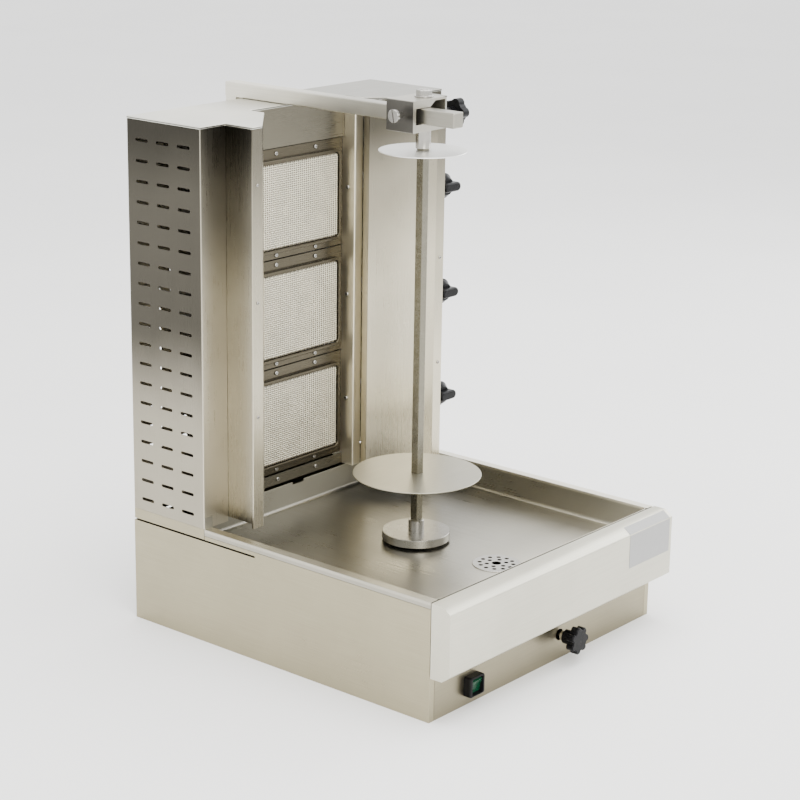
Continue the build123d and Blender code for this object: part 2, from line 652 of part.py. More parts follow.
with BuildPart() as rod_supports:
    for y in SUPPORT_Y:
        with BuildSketch(Plane.XZ.offset(-y + 6)):
            with Locations((0, (1.5 + 46) / 2)):
                Rectangle(2 * RAIL_ROD_X + 24, 46 - 1.5)
            with Locations((0, 24)):
                Rectangle(96, 60, mode=Mode.SUBTRACT)
            with Locations((0, 4)):
                Rectangle(100, 5)
            with Locations((-RAIL_ROD_X, RAIL_ROD_Z), (RAIL_ROD_X, RAIL_ROD_Z)):
                Circle(RAIL_ROD_R + RUN, mode=Mode.SUBTRACT)
        extrude(amount=-12)
save(rod_supports, "rod_supports")

MOTOR_R = 30.0
with BuildPart() as carriage:
    with BuildSketch(Plane.XY.offset(PLATE_Z - 3)):
        with Locations((0, SPIT_Y)):
            Rectangle(2 * RAIL_ROD_X + 20, 2 * CARRIAGE_HALF_Y)
            Circle(MOTOR_R + 0.4, mode=Mode.SUBTRACT)
    extrude(amount=3)
    for side in (-1, 1):
        for y in (SPIT_Y - CARRIAGE_HALF_Y + 12, SPIT_Y + CARRIAGE_HALF_Y - 12):
            with BuildSketch(Plane.XZ.offset(-y + 12)):
                with Locations((side * RAIL_ROD_X, RAIL_ROD_Z + 0.5)):
                    Rectangle(18, 17)
            extrude(amount=-24)
    # front lug that the push rod screws into
    with BuildSketch(Plane.XZ.offset(-(SPIT_Y - CARRIAGE_HALF_Y))):
        with Locations((ROD[0], ROD[1] + 2)):
            Rectangle(20, 22)
    extrude(amount=-8)
    with BuildSketch(Plane.XZ.offset(-(SPIT_Y - CARRIAGE_HALF_Y) + 1)):
        with Locations((-RAIL_ROD_X, RAIL_ROD_Z), (RAIL_ROD_X, RAIL_ROD_Z)):
            Circle(RAIL_ROD_R + RUN)
    extrude(amount=-2 * CARRIAGE_HALF_Y - 2, mode=Mode.SUBTRACT)
    with BuildSketch(Plane.XZ.offset(-(SPIT_Y - CARRIAGE_HALF_Y) + 1)):
        with Locations(ROD):
            Circle(4.0)
    extrude(amount=-12, mode=Mode.SUBTRACT)
save(carriage, "carriage")

with BuildPart() as motor:
    with BuildSketch(Plane.XY.offset(8)):
        with Locations((0, SPIT_Y)):
            Circle(MOTOR_R)
    extrude(amount=PLATE_Z - 8)
    fillet(motor.faces().sort_by(Axis.Z)[0].edges(), radius=4)
save(motor, "motor")

GEARBOX_TOP = 88.0
with BuildPart() as gearbox:
    with BuildSketch(Plane.XY.offset(PLATE_Z)):
        with Locations((0, SPIT_Y)):
            RectangleRounded(76, 92, 10)
    extrude(amount=GEARBOX_TOP - PLATE_Z)
    fillet(gearbox.faces().sort_by(Axis.Z)[-1].edges(), radius=3)
    with BuildSketch(Plane.XY.offset(GEARBOX_TOP)):
        with Locations((0, SPIT_Y)):
            Circle(15)
    extrude(amount=10)
    with BuildSketch(Plane.XY.offset(GEARBOX_TOP + 10)):
        with Locations((0, SPIT_Y)):
            Circle(SHAFT_R + RUN)
    extrude(amount=-44, mode=Mode.SUBTRACT)
save(gearbox, "gearbox")

HUB_TOP = HUB_Z + HUB_T
with BuildPart() as drive_shaft:
    with BuildSketch(Plane.XY.offset(GEARBOX_TOP - 33)):
        with Locations((0, SPIT_Y)):
            Circle(SHAFT_R)
    extrude(amount=HUB_TOP - 3 - GEARBOX_TOP + 33)
    chamfer(drive_shaft.faces().sort_by(Axis.Z)[-1].edges(), length=0.8)
save(drive_shaft, "drive_shaft")

with BuildPart() as hub:
    with BuildSketch(Plane.XY.offset(HUB_Z)):
        with Locations((0, SPIT_Y)):
            Circle(HUB_R)
    extrude(amount=HUB_T)
    fillet(hub.faces().sort_by(Axis.Z)[-1].edges(), radius=0.8)
    with BuildSketch(Plane.XY.offset(HUB_TOP)):
        with Locations((0, SPIT_Y)):
            Circle(COLLAR_R)
    extrude(amount=COLLAR_T)
    chamfer(hub.faces().sort_by(Axis.Z)[-1].edges(), length=0.8)
    with BuildSketch(Plane.XY.offset(HUB_TOP)):
        with Locations((0, SPIT_Y)):
            Rectangle(SPIT_SIDE + 0.3, SPIT_SIDE + 0.3)
    extrude(amount=COLLAR_T, mode=Mode.SUBTRACT)
    with BuildSketch(Plane.XY.offset(HUB_Z)):
        with Locations((0, SPIT_Y)):
            Circle(SHAFT_R + RUN)
    extrude(amount=HUB_T - 2.8, mode=Mode.SUBTRACT)
save(hub, "hub")

# Square spit with a round journal at its top, and a cross hole for the disc's pin.
SPIT_BOTTOM = HUB_TOP + 0.2
SPIT_SQUARE_TOP = 680.6
JOURNAL_R = 4.5
JOURNAL_TOP = 690.0
PIN_Z = LOWER_DISC_Z - 3.2
with BuildPart() as spit:
    with BuildSketch(Plane.XY.offset(SPIT_BOTTOM)):
        with Locations((0, SPIT_Y)):
            Rectangle(SPIT_SIDE, SPIT_SIDE)
    extrude(amount=SPIT_SQUARE_TOP - SPIT_BOTTOM)
    fillet(spit.edges().filter_by(Axis.Z), radius=0.8)
    with BuildSketch(Plane.XY.offset(SPIT_SQUARE_TOP)):
        with Locations((0, SPIT_Y)):
            Circle(JOURNAL_R)
    extrude(amount=JOURNAL_TOP - SPIT_SQUARE_TOP)
    chamfer(spit.faces().sort_by(Axis.Z)[-1].edges(), length=1.5)
    with BuildSketch(Plane.YZ.offset(-SPIT_SIDE)):
        with Locations((SPIT_Y, PIN_Z)):
            Circle(2.5)
    extrude(amount=2 * SPIT_SIDE, mode=Mode.SUBTRACT)
save(spit, "spit")

with BuildPart() as disc_pin:
    with BuildSketch(Plane.YZ.offset(-11)):
        with Locations((SPIT_Y, PIN_Z)):
            Circle(2.45)
    extrude(amount=22)
    chamfer(disc_pin.edges(), length=0.4)
save(disc_pin, "disc_pin")


def spit_disc(radius, level):
    """A meat disc with a square hole for the spit."""
    with BuildPart() as disc:
        with BuildSketch(Plane.XY.offset(level)):
            with Locations((0, SPIT_Y)):
                Circle(radius)
                Rectangle(SPIT_SIDE + 0.6, SPIT_SIDE + 0.6, mode=Mode.SUBTRACT)
        extrude(amount=DISC_T)
        fillet(disc.edges().filter_by(GeomType.CIRCLE), radius=0.5)
    return disc


lower_disc = spit_disc(LOWER_DISC_R, LOWER_DISC_Z)
save(lower_disc, "lower_disc")
upper_disc = spit_disc(UPPER_DISC_R, UPPER_DISC_Z)
save(upper_disc, "upper_disc")

# Push rod with a bright ring, and its star knob, in front of the base's front panel.
ROD_REAR = SPIT_Y - CARRIAGE_HALF_Y + 7.5
HEAD_FACE = FRONT - 24.0
HEAD_T = 11.0
ROD_R = 4.0
with BuildPart() as push_rod:
    with BuildSketch(Plane.XZ.offset(-ROD_REAR)):
        with Locations(ROD):
            Circle(ROD_R - RUN)
    extrude(amount=ROD_REAR - HEAD_FACE + 6)
    with BuildSketch(Plane.XZ.offset(-FRONT + 4)):
        with Locations(ROD):
            Circle(6.5)
    extrude(amount=3.5)
save(push_rod, "push_rod")

with BuildPart() as front_knob:
    head_plane = Plane(origin=(ROD[0], HEAD_FACE, ROD[1]), x_dir=(1, 0, 0), z_dir=(0, -1, 0))
    add(star(head_plane, STAR_R, HEAD_T, 7, 5.1))
    with BuildSketch(Plane.XZ.offset(-FRONT + 10)):
        with Locations(ROD):
            Circle(10)
    extrude(amount=14)
    with BuildSketch(Plane.XZ.offset(-FRONT + 10)):
        with Locations(ROD):
            Circle(ROD_R)
    extrude(amount=20.5, mode=Mode.SUBTRACT)
save(front_knob, "front_knob")

# ================================================================= top support
# Square-tube arm: over the top towards the spit, down behind the tower, on two spacers.
BAR_WALL = 2.0
POST_BOTTOM = 190.0
POST_Y = POST_BACK - BAR_SIDE / 2
with BuildPart() as support_arm:
    with BuildSketch(Plane.XZ.offset(-BAR_FRONT)):
        with Locations((BAR_X, BAR_Z)):
            RectangleRounded(BAR_SIDE, BAR_SIDE, 1.6)
    extrude(amount=-(POST_BACK - BAR_FRONT))
    chamfer(support_arm.faces().sort_by(Axis.Y)[0].edges(), length=1.2)
    with BuildSketch(Plane.XY.offset(BAR_Z + BAR_SIDE / 2)):
        with Locations((BAR_X, POST_Y)):
            RectangleRounded(BAR_SIDE, BAR_SIDE, 1.6)
    extrude(amount=-(BAR_Z + BAR_SIDE / 2 - POST_BOTTOM))
    with BuildSketch(Plane.XZ.offset(-BAR_FRONT - BAR_WALL)):
        with Locations((BAR_X, BAR_Z)):
            Rectangle(BAR_SIDE - 2 * BAR_WALL, BAR_SIDE - 2 * BAR_WALL)
    extrude(amount=-(POST_BACK - BAR_FRONT - 2 * BAR_WALL), mode=Mode.SUBTRACT)
    with BuildSketch(Plane.XY.offset(POST_BOTTOM)):
        with Locations((BAR_X, POST_Y)):
            Rectangle(BAR_SIDE - 2 * BAR_WALL, BAR_SIDE - 2 * BAR_WALL)
    extrude(amount=BAR_Z - POST_BOTTOM, mode=Mode.SUBTRACT)
    for z in (240, 450, 660):
        with BuildSketch(Plane.XY.offset(z - 14)):
            with Locations((BAR_X, (BACK + POST_BACK - BAR_SIDE) / 2)):
                Rectangle(44, POST_BACK - BAR_SIDE - BACK)
        extrude(amount=28)
save(support_arm, "support_arm")

# Sliding block: folded plate round the bar, open at the front right, bored for the pivot pin.
PLATE = 3.0
STEM_R = 5.0
GUIDE = (SPIT_Y - 1, BAR_Z + 2.2)
BLOCK_LONG = BLOCK_Y[1] - BLOCK_Y[0]
WINDOW = (BLOCK_X[0] + 6.0, BLOCK_X[1] - PLATE)
with BuildPart() as slide_block:
    with BuildSketch(Plane.XZ.offset(-BLOCK_Y[1])):
        with Locations((sum(BLOCK_X) / 2, sum(BLOCK_Z) / 2)):
            Rectangle(BLOCK_X[1] - BLOCK_X[0], BLOCK_Z[1] - BLOCK_Z[0])
    extrude(amount=BLOCK_LONG)
    fillet(slide_block.edges().filter_by(Axis.Y).group_by(Axis.X)[-1].sort_by(Axis.Z)[-1], radius=6)
    fillet(slide_block.edges().filter_by(Axis.Y).group_by(Axis.X)[0], radius=1.5)
    # hollow between the front and rear plates
    with BuildSketch(Plane.XZ.offset(-BLOCK_Y[1] + PLATE)):
        with Locations((sum(BLOCK_X) / 2, sum(BLOCK_Z) / 2)):
            Rectangle(BLOCK_X[1] - BLOCK_X[0] - 2 * PLATE, BLOCK_Z[1] - BLOCK_Z[0] - 2 * PLATE)
    extrude(amount=BLOCK_LONG - 2 * PLATE, mode=Mode.SUBTRACT)
    # passage for the bar, and the open front right part above the lower strip
    with BuildSketch(Plane.XZ.offset(-BLOCK_Y[1] - 1)):
        with Locations(((WINDOW[0] + BAR_X + BAR_SIDE / 2 + 0.6) / 2, BAR_Z)):
            Rectangle(BAR_X + BAR_SIDE / 2 + 0.6 - WINDOW[0], BAR_SIDE + 1.2)
    extrude(amount=BLOCK_LONG + 2, mode=Mode.SUBTRACT)
    with BuildSketch(Plane.XZ.offset(-BLOCK_Y[0] - PLATE - 1)):
        with BuildLine():
            Polyline(
                (BAR_X, BAR_Z - BAR_SIDE / 2 - 0.6), (WINDOW[1], BAR_Z - BAR_SIDE / 2 - 0.6),
                (WINDOW[1], BLOCK_Z[1] - PLATE), (BAR_X + BAR_SIDE, BLOCK_Z[1] - PLATE),
                (BAR_X + BAR_SIDE / 2, BAR_Z + BAR_SIDE / 2 + 0.6), (BAR_X, BAR_Z + BAR_SIDE / 2 + 0.6),
                close=True,
            )
        make_face()
    extrude(amount=PLATE + 2, mode=Mode.SUBTRACT)
    # bores: pivot pin below and above, clamp screw on the right, guide screw on the left
    with BuildSketch(Plane.XY.offset(BLOCK_Z[0] - 1)):
        with Locations((0, SPIT_Y)):
            Circle(CUP_R + RUN)
    extrude(amount=PLATE + 2, mode=Mode.SUBTRACT)
    with BuildSketch(Plane.XY.offset(BLOCK_Z[1] + 1)):
        with Locations((0, SPIT_Y)):
            Circle(STEM_R + RUN)
    extrude(amount=-PLATE - 2, mode=Mode.SUBTRACT)
    with BuildSketch(Plane.YZ.offset(BLOCK_X[1] + 1)):
        with Locations((SPIT_Y, CLAMP_Z)):
            Circle(4 + RUN)
    extrude(amount=-PLATE - 2, mode=Mode.SUBTRACT)
    with BuildSketch(Plane.YZ.offset(BLOCK_X[0] - 1)):
        with Locations(GUIDE):
            Circle(4 + RUN)
    extrude(amount=PLATE + 2, mode=Mode.SUBTRACT)
save(slide_block, "slide_block")

# Pivot pin: a cup over the spit's journal, on a stem through the block.
with BuildPart() as pivot_pin:
    with BuildSketch(Plane.XY.offset(CUP_BOTTOM)):
        with Locations((0, SPIT_Y)):
            Circle(CUP_R)
    extrude(amount=BLOCK_Z[0] - CUP_BOTTOM)
    chamfer(pivot_pin.faces().sort_by(Axis.Z)[0].edges(), length=0.6)
    with BuildSketch(Plane.XY.offset(BLOCK_Z[0])):
        with Locations((0, SPIT_Y)):
            Circle(STEM_R)
    extrude(amount=BLOCK_Z[1] + 10 - BLOCK_Z[0])
    with BuildSketch(Plane.XY.offset(CUP_BOTTOM)):
        with Locations((0, SPIT_Y)):
            Circle(JOURNAL_R + RUN)
    extrude(amount=JOURNAL_TOP + 1 - CUP_BOTTOM, mode=Mode.SUBTRACT)
save(pivot_pin, "pivot_pin")

with BuildPart() as pin_nut:
    with BuildSketch(Plane.XY.offset(BLOCK_Z[1] + 0.05)):
        with Locations((0, SPIT_Y)):
            Circle(13.0)
    extrude(amount=1.6)
    with BuildSketch(Plane.XY.offset(BLOCK_Z[1] + 1.6)):
        with Locations((0, SPIT_Y)):
            RegularPolygon(10.8, 6, rotation=12)
    extrude(amount=8)
    chamfer(pin_nut.faces().sort_by(Axis.Z)[-1].edges(), length=0.7)
    with BuildSketch(Plane.XY.offset(BLOCK_Z[1])):
        with Locations((0, SPIT_Y)):
            Circle(STEM_R)
    extrude(amount=12, mode=Mode.SUBTRACT)
save(pin_nut, "pin_nut")

# Star knob that clamps the pivot pin: its screw runs through the block's right plate.
CLAMP_HEAD = 62.0
with BuildPart() as clamp_knob:
    head_plane = Plane(origin=(CLAMP_HEAD, SPIT_Y, CLAMP_Z), x_dir=(0, 1, 0), z_dir=(1, 0, 0))
    add(star(head_plane, STAR_R, 13, 5, 6.8, 36))
    with BuildSketch(Plane.YZ.offset(STEM_R + 0.4)):
        with Locations((SPIT_Y, CLAMP_Z)):
            Circle(4)
    extrude(amount=CLAMP_HEAD - STEM_R)
    with BuildSketch(Plane.YZ.offset(CLAMP_HEAD - 16)):
        with Locations((SPIT_Y, CLAMP_Z)):
            Circle(7.5)
    extrude(amount=17)
save(clamp_knob, "clamp_knob")

# Slotted guide screw that bears on the bar's left side.
GUIDE_HEAD = BLOCK_X[0] - 16.0
with BuildPart() as guide_screw:
    with BuildSketch(Plane.YZ.offset(GUIDE_HEAD)):
        with Locations(GUIDE):
            Circle(4)
    extrude(amount=BAR_X - BAR_SIDE / 2 - 0.3 - GUIDE_HEAD)
    with BuildSketch(Plane.YZ.offset(GUIDE_HEAD)):
        with Locations(GUIDE):
            Circle(9.0)
    extrude(amount=-4)
    chamfer(guide_screw.faces().sort_by(Axis.X)[0].edges(), length=0.6)
    with BuildSketch(Plane.YZ.offset(GUIDE_HEAD - 4)):
        with Locations(GUIDE):
            Rectangle(1.8, 24, rotation=-12)
    extrude(amount=1.5, mode=Mode.SUBTRACT)
save(guide_screw, "guide_screw")

# ================================================================= switch and cable gland
BOOT_T = 12.0
ROCKER_Y = FRONT - 3.0
with BuildPart() as switch_boot:
    with BuildSketch(Plane.XZ.offset(-FRONT + 0.1)):
        with Locations(SWITCH):
            RectangleRounded(31, 28, 4)
    extrude(amount=BOOT_T)
    fillet(switch_boot.faces().sort_by(Axis.Y)[0].edges(), radius=2.5)
    with BuildSketch(Plane.XZ.offset(-FRONT + 0.1)):
        with Locations(SWITCH):
            RectangleRounded(22.4, 23.2, 2)
    extrude(amount=BOOT_T, mode=Mode.SUBTRACT)
save(switch_boot, "switch_boot")

with BuildPart() as switch_body:
    with BuildSketch(Plane.XZ.offset(-FRONT - 30)):
        with Locations(SWITCH):
            Rectangle(24.6, 26.6)
    extrude(amount=29.5)
    with BuildSketch(Plane.XZ.offset(-FRONT - 10)):
        with Locations(SWITCH):
            Rectangle(22.2, 23.0)
    extrude(amount=12, mode=Mode.SUBTRACT)
    with BuildSketch(Plane.XZ.offset(-FRONT - 30)):
        with Locations((SWITCH[0] - 6, SWITCH[1]), (SWITCH[0] + 6, SWITCH[1])):
            Rectangle(1, 6)
    extrude(amount=-8)
save(switch_body, "switch_body")

ROCKER_PROFILE = [(-8, 7.5), (-4.8, 0), (-3.5, -10.3), (5, -9.7), (5, 9.7), (-4, 10.2)]
with BuildPart() as rocker:
    with BuildSketch(Plane.YZ.offset(SWITCH[0] - 10.4)):
        with BuildLine():
            Polyline(*[(ROCKER_Y + y, SWITCH[1] + z) for y, z in ROCKER_PROFILE], close=True)
        make_face()
    extrude(amount=20.8)
save(rocker, "rocker")

with BuildPart() as cable_gland:
    with BuildSketch(Plane.XZ.offset(-BACK + 14)):
        with Locations(GLAND):
            Circle(GLAND_R)
            Circle(4, mode=Mode.SUBTRACT)
    extrude(amount=-26)
    with BuildSketch(Plane.XZ.offset(-BACK - 0.1)):
        with Locations(GLAND):
            RegularPolygon(12, 6)
            Circle(GLAND_R - 1, mode=Mode.SUBTRACT)
    extrude(amount=-7)
save(cable_gland, "cable_gland")

# ================================================================= screws
def pan_heads(plane, places, radius):
    """Pan-head screws on a plane: a rim, a tapered top and a cross recess."""
    with BuildPart() as heads:
        with BuildSketch(plane):
            with Locations(*places):
                Circle(radius)
        extrude(amount=radius * 0.3)
        with BuildSketch(plane.offset(radius * 0.3)):
            with Locations(*places):
                Circle(radius)
        extrude(amount=radius * 0.3, taper=38)
        with BuildSketch(plane.offset(radius * 0.6)):
            with Locations(*places):
                Rectangle(radius * 1.1, radius * 0.28)
                Rectangle(radius * 0.28, radius * 1.1)
        extrude(amount=-radius * 0.35, mode=Mode.SUBTRACT)
    return heads.part


# Screws of the burner frames, the lower strip, the rail webs, and the wings' front strips.
FRAME_EDGES = [burner_z(index) for index in range(BURNERS)]
FRAME_SCREWS = [(x, z) for x in SCREW_X for top, bottom in FRAME_EDGES for z in (top - 7, bottom + 5.5)]
with BuildPart() as tower_screws:
    add(pan_heads(Plane.XZ.offset(-FLANGE_Y + 0.05), FRAME_SCREWS, 3.2))
    add(pan_heads(Plane.XZ.offset(-BURNER_Y + 0.05), [(x, STRIP_BOTTOM + 8) for x in SCREW_X], 3.2))
    for side in (-1, 1):
        web = Plane(origin=(side * (RAIL_X - 0.05), 0, 0), x_dir=(0, -side, 0), z_dir=(-side, 0, 0))
        add(pan_heads(web, [(-side * 181, z + 5) for z in KNOB_Z], 3.0))
        add(pan_heads(Plane.XZ.offset(-WING_FRONT + 0.05), [(side * 193, z + 60) for z in KNOB_Z], 2.4))
save(tower_screws, "tower_screws")
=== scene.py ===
import math
import bmesh
import bpy
from mathutils import Matrix, Vector


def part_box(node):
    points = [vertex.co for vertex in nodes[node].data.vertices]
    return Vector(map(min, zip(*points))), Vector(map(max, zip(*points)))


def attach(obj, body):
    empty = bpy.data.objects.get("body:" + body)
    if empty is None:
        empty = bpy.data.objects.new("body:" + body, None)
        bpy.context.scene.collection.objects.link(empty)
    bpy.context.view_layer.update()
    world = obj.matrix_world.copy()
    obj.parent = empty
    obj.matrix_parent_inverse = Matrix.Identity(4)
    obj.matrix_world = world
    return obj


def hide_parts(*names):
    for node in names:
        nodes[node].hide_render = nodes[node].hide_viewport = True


# Vertical rotisserie broiler, in metres and in the CAD's frame: the CAD pieces with their
# materials and rounded edges, woven screens in place of the plain mesh slabs, and a blank label.

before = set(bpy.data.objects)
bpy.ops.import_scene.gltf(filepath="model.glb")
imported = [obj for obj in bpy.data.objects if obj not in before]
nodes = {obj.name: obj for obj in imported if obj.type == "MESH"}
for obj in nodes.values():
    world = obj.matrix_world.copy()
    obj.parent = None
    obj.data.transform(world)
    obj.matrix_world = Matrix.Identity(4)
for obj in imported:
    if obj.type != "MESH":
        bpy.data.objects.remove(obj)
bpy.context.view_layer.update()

# ------------------------------------------------------------------ materials


def new_material(name):
    """A node material, with its tree and its Principled shader."""
    material = bpy.data.materials.new(name)
    material.use_nodes = True
    tree = material.node_tree
    return material, tree, tree.nodes["Principled BSDF"]


def noise(tree, scale, detail=3.0, rough=0.55, stretch=(1, 1, 1)):
    """Noise on the piece's own coordinates, about 0.3 to 0.7."""
    coord = tree.nodes.new("ShaderNodeTexCoord")
    mapping = tree.nodes.new("ShaderNodeMapping")
    mapping.inputs["Scale"].default_value = stretch
    texture = tree.nodes.new("ShaderNodeTexNoise")
    texture.inputs["Scale"].default_value = scale
    texture.inputs["Detail"].default_value = detail
    texture.inputs["Roughness"].default_value = rough
    tree.links.new(coord.outputs["Object"], mapping.inputs["Vector"])
    tree.links.new(mapping.outputs["Vector"], texture.inputs["Vector"])
    return texture.outputs["Fac"]


def span(tree, value, low, high, start=0.3, stop=0.7):
    """A value from start to stop, carried over to low to high and held there."""
    node = tree.nodes.new("ShaderNodeMapRange")
    node.inputs["From Min"].default_value = start
    node.inputs["From Max"].default_value = stop
    node.inputs["To Min"].default_value = low
    node.inputs["To Max"].default_value = high
    tree.links.new(value, node.inputs["Value"])
    return node.outputs["Result"]


def feed(tree, socket, value):
    """Link another node's output to a socket, or set a number or an RGB colour on it."""
    if isinstance(value, bpy.types.NodeSocket):
        tree.links.new(value, socket)
    elif isinstance(value, tuple):
        socket.default_value = (*value, 1)
    else:
        socket.default_value = value


# the colour sockets of a Mix node
MIX_FACTOR, MIX_A, MIX_B, MIX_RESULT = 0, 6, 7, 2


def mix(tree, factor, first, second, blend="MIX"):
    """Two colours mixed or multiplied."""
    node = tree.nodes.new("ShaderNodeMix")
    node.data_type = "RGBA"
    node.blend_type = blend
    feed(tree, node.inputs[MIX_FACTOR], factor)
    feed(tree, node.inputs[MIX_A], first)
    feed(tree, node.inputs[MIX_B], second)
    return node.outputs[MIX_RESULT]


def math_node(tree, operation, a, b):
    node = tree.nodes.new("ShaderNodeMath")
    node.operation = operation
    feed(tree, node.inputs[0], a)
    feed(tree, node.inputs[1], b)
    return node.outputs[0]


def bump(tree, shader, height, strength, distance):
    """Fine relief in the shader's normal."""
    node = tree.nodes.new("ShaderNodeBump")
    node.inputs["Strength"].default_value = strength
    node.inputs["Distance"].default_value = distance
    tree.links.new(height, node.inputs["Height"])
    tree.links.new(node.outputs["Normal"], shader.inputs["Normal"])


def scaled(tone, factor):
    return tuple(c * factor for c in tone)


# how noise is stretched for brushing along each axis
BRUSH = {"x": (0.012, 1, 1), "y": (1, 0.012, 1), "z": (1, 1, 0.012)}


def ramp(tree, value, stops):
    """Grey levels along a value from 0 to 1, with soft steps between the stops."""
    node = tree.nodes.new("ShaderNodeValToRGB")
    node.color_ramp.interpolation = "EASE"
    while len(node.color_ramp.elements) < len(stops):
        node.color_ramp.elements.new(1.0)
    for element, (place, level) in zip(node.color_ramp.elements, stops):
        element.position = place
        element.color = (level, level, level, 1)
    tree.links.new(value, node.inputs["Fac"])
    return node.outputs["Color"]


def axis_parts(tree, output):
    """X, Y and Z of an object-space coordinate or normal."""
    coord = tree.nodes.new("ShaderNodeTexCoord")
    split = tree.nodes.new("ShaderNodeSeparateXYZ")
    tree.links.new(coord.outputs[output], split.inputs[0])
    return [split.outputs[axis] for axis in "XYZ"]


# squared distance from the middle, between the wings' inner and outer webs
INNER_WEB, OUTER_WEB = 0.034, 0.038


def painted_light_levels(tree, side, inner, front, bend):
    """Painted reflection and shade: grey levels for a sheet at each height, by the way its faces
    point, with the bends given levels of their own, mostly a painted highlight.
    """
    wander = span(tree, noise(tree, 4, 3.0, 0.5, (1, 1, 0.3)), -0.03, 0.03)
    height = math_node(tree, "ADD", axis_parts(tree, "Object")[2], wander)
    normal = axis_parts(tree, "Normal")
    across = math_node(tree, "MULTIPLY", normal[0], normal[0])
    along = math_node(tree, "MULTIPLY", normal[1], normal[1])
    x = axis_parts(tree, "Object")[0]
    outer = span(tree, math_node(tree, "MULTIPLY", x, x), 0.15, 1.0, INNER_WEB, OUTER_WEB)
    sides = mix(tree, outer, ramp(tree, height, inner), ramp(tree, height, side))
    level = mix(tree, across, ramp(tree, height, front), sides)
    # at most 1, where a bend faces half sideways and half forward; there the bend stops paint a
    # highlight along the bend
    bend_highlight_mask = math_node(tree, "MULTIPLY", math_node(tree, "MULTIPLY", across, along), 4.0)
    return mix(tree, bend_highlight_mask, level, ramp(tree, height, bend))


def steel(name, tone, rough, grain="z", line=0.15, dark=0.86, levels=None):
    """Brushed stainless: fine lines one way, cloudy roughness, smudges, and any painted light and
    shade from levels.
    """
    material, tree, shader = new_material(name)
    lines = noise(tree, 900, 2.0, 0.6, BRUSH[grain])
    broad = noise(tree, 140, 3.0, 0.6, BRUSH[grain])
    cloud = noise(tree, 5.5, 4.0, 0.6)
    smudge = noise(tree, 38, 5.0, 0.7)
    low = scaled(tone, dark)
    colour = mix(tree, span(tree, cloud, 0, 1, 0.32, 0.68), low, tone)
    colour = mix(tree, span(tree, lines, 0.0, line), colour, scaled(low, 0.6))
    colour = mix(tree, span(tree, broad, 0.0, line * 0.3), colour, scaled(low, 0.75))
    if levels:
        colour = mix(tree, 1.0, colour, levels(tree), "MULTIPLY")
    tree.links.new(colour, shader.inputs["Base Color"])
    shader.inputs["Metallic"].default_value = 1.0
    first = span(tree, lines, rough - 0.04, rough + 0.05)
    second = span(tree, smudge, -0.015, 0.025)
    third = span(tree, cloud, -0.03, 0.05)
    total = math_node(tree, "ADD", math_node(tree, "ADD", first, second), third)
    tree.links.new(total, shader.inputs["Roughness"])
    bump(tree, shader, lines, line * 0.2, 0.0001)
    return material


def casing_levels(tree):
    """Painted reflection and shade: grey levels by height in metres for each way that a casing's
    sheet faces, with painted highlights along its bends.
    """
    return painted_light_levels(
        tree,
        [(0.17, 0.58), (0.28, 0.58), (0.44, 0.125), (0.60, 0.14), (0.70, 0.07)],
        [(0.17, 0.8), (0.70, 0.5)],
        [(0.17, 1.0), (0.30, 1.0), (0.45, 0.72), (0.60, 0.34), (0.70, 0.11)],
        [(0.17, 1.0), (0.70, 0.7)],
    )


def wing_levels(tree):
    """The same painted reflection and shade for the wings, darker at the top."""
    return painted_light_levels(
        tree,
        [(0.17, 0.55), (0.45, 0.62), (0.58, 0.28), (0.70, 0.045)],
        [(0.17, 0.95), (0.45, 0.72), (0.58, 0.42), (0.70, 0.20)],
        [(0.17, 1.0), (0.30, 1.0), (0.45, 0.74), (0.70, 0.27)],
        [(0.17, 1.0), (0.45, 0.95), (0.60, 0.55), (0.70, 0.15)],
    )


def tray_levels(tree):
    """Painted shade under the burners and inside the walls, and a painted highlight on the right side
    of the top edge.
    """
    x, y, z = axis_parts(tree, "Object")
    rearward = math_node(tree, "ADD", y, 0.5)
    # painted shade, darker towards the back under the burners
    under_burner_shade = ramp(tree, rearward, [(0.24, 0.74), (0.36, 0.46), (0.50, 0.24), (0.75, 0.24)])
    walls = ramp(tree, z, [(0.124, 0.0), (0.130, 1.0)])
    # painted shade inside the walls, held at 0.40
    floor = mix(tree, walls, under_burner_shade, (0.40, 0.40, 0.40))
    inside = mix(tree, ramp(tree, z, [(0.160, 0.0), (0.164, 1.0)]), floor, (1.0, 1.0, 1.0))
    # painted highlight, brighter towards the right along the top edge
    rim_highlight = ramp(tree, math_node(tree, "ADD", x, 0.5), [(0.3, 0.50), (0.7, 1.0)])
    top = ramp(tree, z, [(0.160, 0.0), (0.164, 1.0)])
    return mix(tree, 1.0, inside, mix(tree, top, (1.0, 1.0, 1.0), rim_highlight), "MULTIPLY")


def lid_levels(tree):
    """A painted shade line round the folded edge where the lid meets the casing, and duller to the
    right.
    """
    x, y, z = axis_parts(tree, "Object")
    edge = span(tree, z, 0.0, 1.0, 0.714, 0.718)
    # painted shade of the seam, a dark band just above the bright lip
    seam_shade = ramp(tree, edge, [(0.40, 1.0), (0.50, 0.12), (0.66, 0.12), (0.78, 1.0)])
    right = ramp(tree, math_node(tree, "ADD", x, 0.5), [(0.30, 1.0), (0.60, 0.45)])
    return mix(tree, 1.0, seam_shade, right, "MULTIPLY")


def arm_levels(tree):
    """Duller towards the arm's front end."""
    y = axis_parts(tree, "Object")[1]
    return ramp(tree, math_node(tree, "ADD", y, 0.5), [(0.36, 0.38), (0.55, 0.48), (0.72, 0.85)])


def block_levels(tree):
    """Painted shade: the block's left plate is darker than its other faces."""
    normal = axis_parts(tree, "Normal")
    across = math_node(tree, "MULTIPLY", normal[0], normal[0])
    plate = span(tree, axis_parts(tree, "Object")[0], 1.0, 0.0, -0.042, -0.040)
    return mix(tree, math_node(tree, "MULTIPLY", across, plate), (1.0, 1.0, 1.0), (0.24, 0.24, 0.25))


